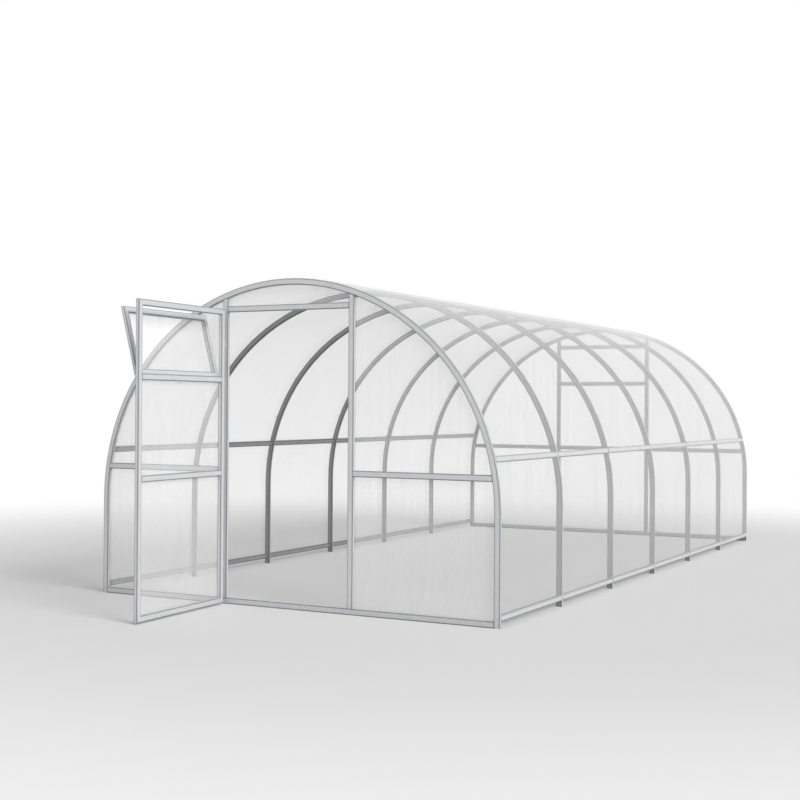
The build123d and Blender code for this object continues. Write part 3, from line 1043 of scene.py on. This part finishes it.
class GreenhouseSteel(bpy.types.PropertyGroup):
    """Steel tubes"""

    corner_radius: FloatProperty(
        name="Corner Radius", description="Outer radius of a tube's corners",
        default=0.006, min=0.0005, unit="LENGTH",
    )
    front_colour: FloatVectorProperty(
        name="Front Colour", description="Zinc on the flats of the front wall, door and vent",
        default=(0.56, 0.564, 0.575), subtype="COLOR",
    )
    # Painted shade: a darker copy of the zinc, on the faces that don't face out of the house
    colour: FloatVectorProperty(
        name="Colour", description="Duller zinc on the flats of the other tubes",
        default=(0.255, 0.257, 0.262), subtype="COLOR",
    )
    # Painted shade: share of a flat over which the painted corner shade fades out
    corner_fade: FloatProperty(
        name="Corner Fade", description="Share of a flat that darkens towards a corner",
        default=0.12, min=0.01, max=0.45, subtype="FACTOR",
    )
    # Painted shade: how much darker the rounded corners are drawn
    painted_corner_shade: FloatProperty(
        name="Corner Shade", description="How much darker the zinc is on the rolled corners",
        default=0.8, min=0, max=1, subtype="FACTOR",
    )
    roughness: FloatProperty(
        name="Roughness", description="Mean roughness of the zinc",
        default=0.34, min=0, max=1, subtype="FACTOR",
    )
    spangle: FloatProperty(
        name="Spangle", description="Size of the zinc crystals",
        default=0.007, min=0.001, unit="LENGTH",
    )


class GreenhouseSheet(bpy.types.PropertyGroup):
    """Polycarbonate sheets"""

    colour: FloatVectorProperty(
        name="Colour", description="Milky tint of the sheet",
        default=(0.945, 0.945, 0.945), subtype="COLOR",
    )
    # Painted shade: the roof sheets take a darker tint and less milk than the panes, to offset the key light
    # that falls on their sides
    roof_tint: FloatVectorProperty(
        name="Roof Tint", description="Light that passes a clear skin of the roof sheets",
        default=(0.949, 0.949, 0.949), subtype="COLOR",
    )
    pane_tint: FloatVectorProperty(
        name="Pane Tint", description="Light that passes a clear skin of the panes",
        default=(0.998, 0.998, 0.998), subtype="COLOR",
    )
    roof_haze: FloatProperty(
        name="Roof Haze", description="Milky share of one skin of the roof sheets",
        default=0.045, min=0, max=1, subtype="FACTOR",
    )
    pane_haze: FloatProperty(
        name="Pane Haze", description="Milky share of one skin of the panes",
        default=0.13, min=0, max=1, subtype="FACTOR",
    )
    flute_pitch: FloatProperty(
        name="Flute Pitch", description="Distance between two ribs",
        default=0.0105, min=0.003, unit="LENGTH",
    )
    rib_width: FloatProperty(
        name="Rib Width", description="Width of a rib",
        default=0.0004, min=0.0001, unit="LENGTH",
    )
    rib_depth: FloatProperty(
        name="Rib Depth", description="Depth of a rib between the skins",
        default=0.0005, min=0.0003, unit="LENGTH",
    )


class GreenhouseHardware(bpy.types.PropertyGroup):
    """Hinges and screws"""

    zinc: FloatVectorProperty(
        name="Zinc", description="Colour of the plating",
        default=(0.62, 0.63, 0.65), subtype="COLOR",
    )
    washer: FloatProperty(
        name="Washer", description="Width of a screw's washer",
        default=0.011, min=0.004, unit="LENGTH",
    )
    head: FloatProperty(
        name="Head", description="Width of a screw's head across its flats",
        default=0.007, min=0.002, unit="LENGTH",
    )
    head_height: FloatProperty(
        name="Head Height", description="Height of a screw with its washer",
        default=0.0042, min=0.001, unit="LENGTH",
    )
    spacing: FloatProperty(
        name="Spacing", description="Distance between two screws",
        default=0.42, min=0.05, unit="LENGTH",
    )


class GreenhouseStage(bpy.types.PropertyGroup):
    """Floor, light and camera"""

    floor_colour: FloatVectorProperty(
        name="Floor Colour", description="Colour of the floor",
        default=(0.60, 0.60, 0.60), subtype="COLOR",
    )
    floor_radius: FloatProperty(
        name="Floor Radius", description="Radius of the floor",
        default=90.0, unit="LENGTH",
    )
    floor_lift: FloatProperty(
        name="Floor Lift", description="Share of white in the near floor",
        default=0.06, min=0, max=1, subtype="FACTOR",
    )
    fade_start: FloatProperty(
        name="Fade Start", description="Distance at which the floor starts to fade to white",
        default=3.6, unit="LENGTH",
    )
    fade_end: FloatProperty(
        name="Fade End", description="Distance at which the floor is white",
        default=9.0, unit="LENGTH",
    )
    ambient: FloatProperty(
        name="Ambient", description="Strength of the soft light all round",
        default=0.50, min=0,
    )
    ambient_lean: FloatProperty(
        name="Ambient Lean", description="How much stronger the soft light is on its bright side",
        default=0.75, min=0, max=1, subtype="FACTOR",
    )
    ambient_from: FloatVectorProperty(
        name="Ambient From", description="Bright side of the soft light",
        default=(0.50, -0.45, 0.74), subtype="DIRECTION",
    )
    ambient_colour: FloatVectorProperty(
        name="Ambient Colour", description="Colour of the soft light",
        default=(1.0, 1.0, 1.0), subtype="COLOR",
    )
    key: FloatProperty(
        name="Key", description="Strength of the key light",
        default=2.6, min=0,
    )
    key_softness: FloatProperty(
        name="Key Softness", description="Angle that the key light fills",
        default=radians(25), subtype="ANGLE",
    )
    key_from: FloatVectorProperty(
        name="Key From", description="Direction of the key light",
        default=(0.80, -0.28, 0.53), subtype="DIRECTION",
    )
    lens: FloatProperty(
        name="Lens", description="Focal length of the camera",
        default=59.39, unit="CAMERA",
    )
    camera_place: FloatVectorProperty(
        name="Camera", description="Place of the camera",
        default=(4.638, -7.113, 1.302), subtype="TRANSLATION",
    )
    camera_yaw: FloatProperty(
        name="Yaw", description="Turn of the camera to the left",
        default=radians(28.22), subtype="ANGLE",
    )
    camera_pitch: FloatProperty(
        name="Pitch", description="Tilt of the camera upwards",
        default=radians(0.276), subtype="ANGLE",
    )
    camera_roll: FloatProperty(
        name="Roll", description="Turn of the picture",
        default=radians(0.371), subtype="ANGLE",
    )


class GREENHOUSE_PT_panel(bpy.types.Panel):
    """Settings and pieces of the greenhouse"""

    bl_label = "Greenhouse"
    bl_idname = "GREENHOUSE_PT_panel"
    bl_space_type = "VIEW_3D"
    bl_region_type = "UI"
    bl_category = "Greenhouse"

    def draw(self, context):
        for group in GROUPS:
            box = self.layout.box()
            settings = getattr(context.scene, group)
            for name in settings.bl_rna.properties.keys():
                if name not in ("rna_type", "name"):
                    box.prop(settings, name)
        for operator in OPERATORS:
            self.layout.operator(operator.bl_idname)


GROUPS = {
    "greenhouse_steel": GreenhouseSteel,
    "greenhouse_sheet": GreenhouseSheet,
    "greenhouse_hardware": GreenhouseHardware,
    "greenhouse_stage": GreenhouseStage,
}
OPERATORS = (
    GREENHOUSE_OT_arches,
    GREENHOUSE_OT_side_rails,
    GREENHOUSE_OT_end_walls,
    GREENHOUSE_OT_door,
    GREENHOUSE_OT_vent,
    GREENHOUSE_OT_roof_sheets,
    GREENHOUSE_OT_gable_panes,
    GREENHOUSE_OT_leaf_panes,
    GREENHOUSE_OT_hinges,
    GREENHOUSE_OT_roof_screws,
    GREENHOUSE_OT_gable_screws,
    GREENHOUSE_OT_leaf_screws,
    GREENHOUSE_OT_stage,
)


def register():
    for group in GROUPS.values():
        bpy.utils.register_class(group)
    for operator in OPERATORS:
        bpy.utils.register_class(operator)
    bpy.utils.register_class(GREENHOUSE_PT_panel)
    for name, group in GROUPS.items():
        setattr(bpy.types.Scene, name, PointerProperty(type=group))


def unregister():
    for name in GROUPS:
        delattr(bpy.types.Scene, name)
    bpy.utils.unregister_class(GREENHOUSE_PT_panel)
    for operator in reversed(OPERATORS):
        bpy.utils.unregister_class(operator)
    for group in reversed(GROUPS.values()):
        bpy.utils.unregister_class(group)


def main():
    register()
    bpy.ops.greenhouse.arches()
    bpy.ops.greenhouse.side_rails()
    bpy.ops.greenhouse.end_walls()
    bpy.ops.greenhouse.door()
    bpy.ops.greenhouse.vent()
    bpy.ops.greenhouse.roof_sheets()
    bpy.ops.greenhouse.gable_panes()
    bpy.ops.greenhouse.leaf_panes()
    bpy.ops.greenhouse.hinges()
    bpy.ops.greenhouse.roof_screws()
    bpy.ops.greenhouse.gable_screws()
    bpy.ops.greenhouse.leaf_screws()
    bpy.ops.greenhouse.stage()


if __name__ == "__main__":
    main()
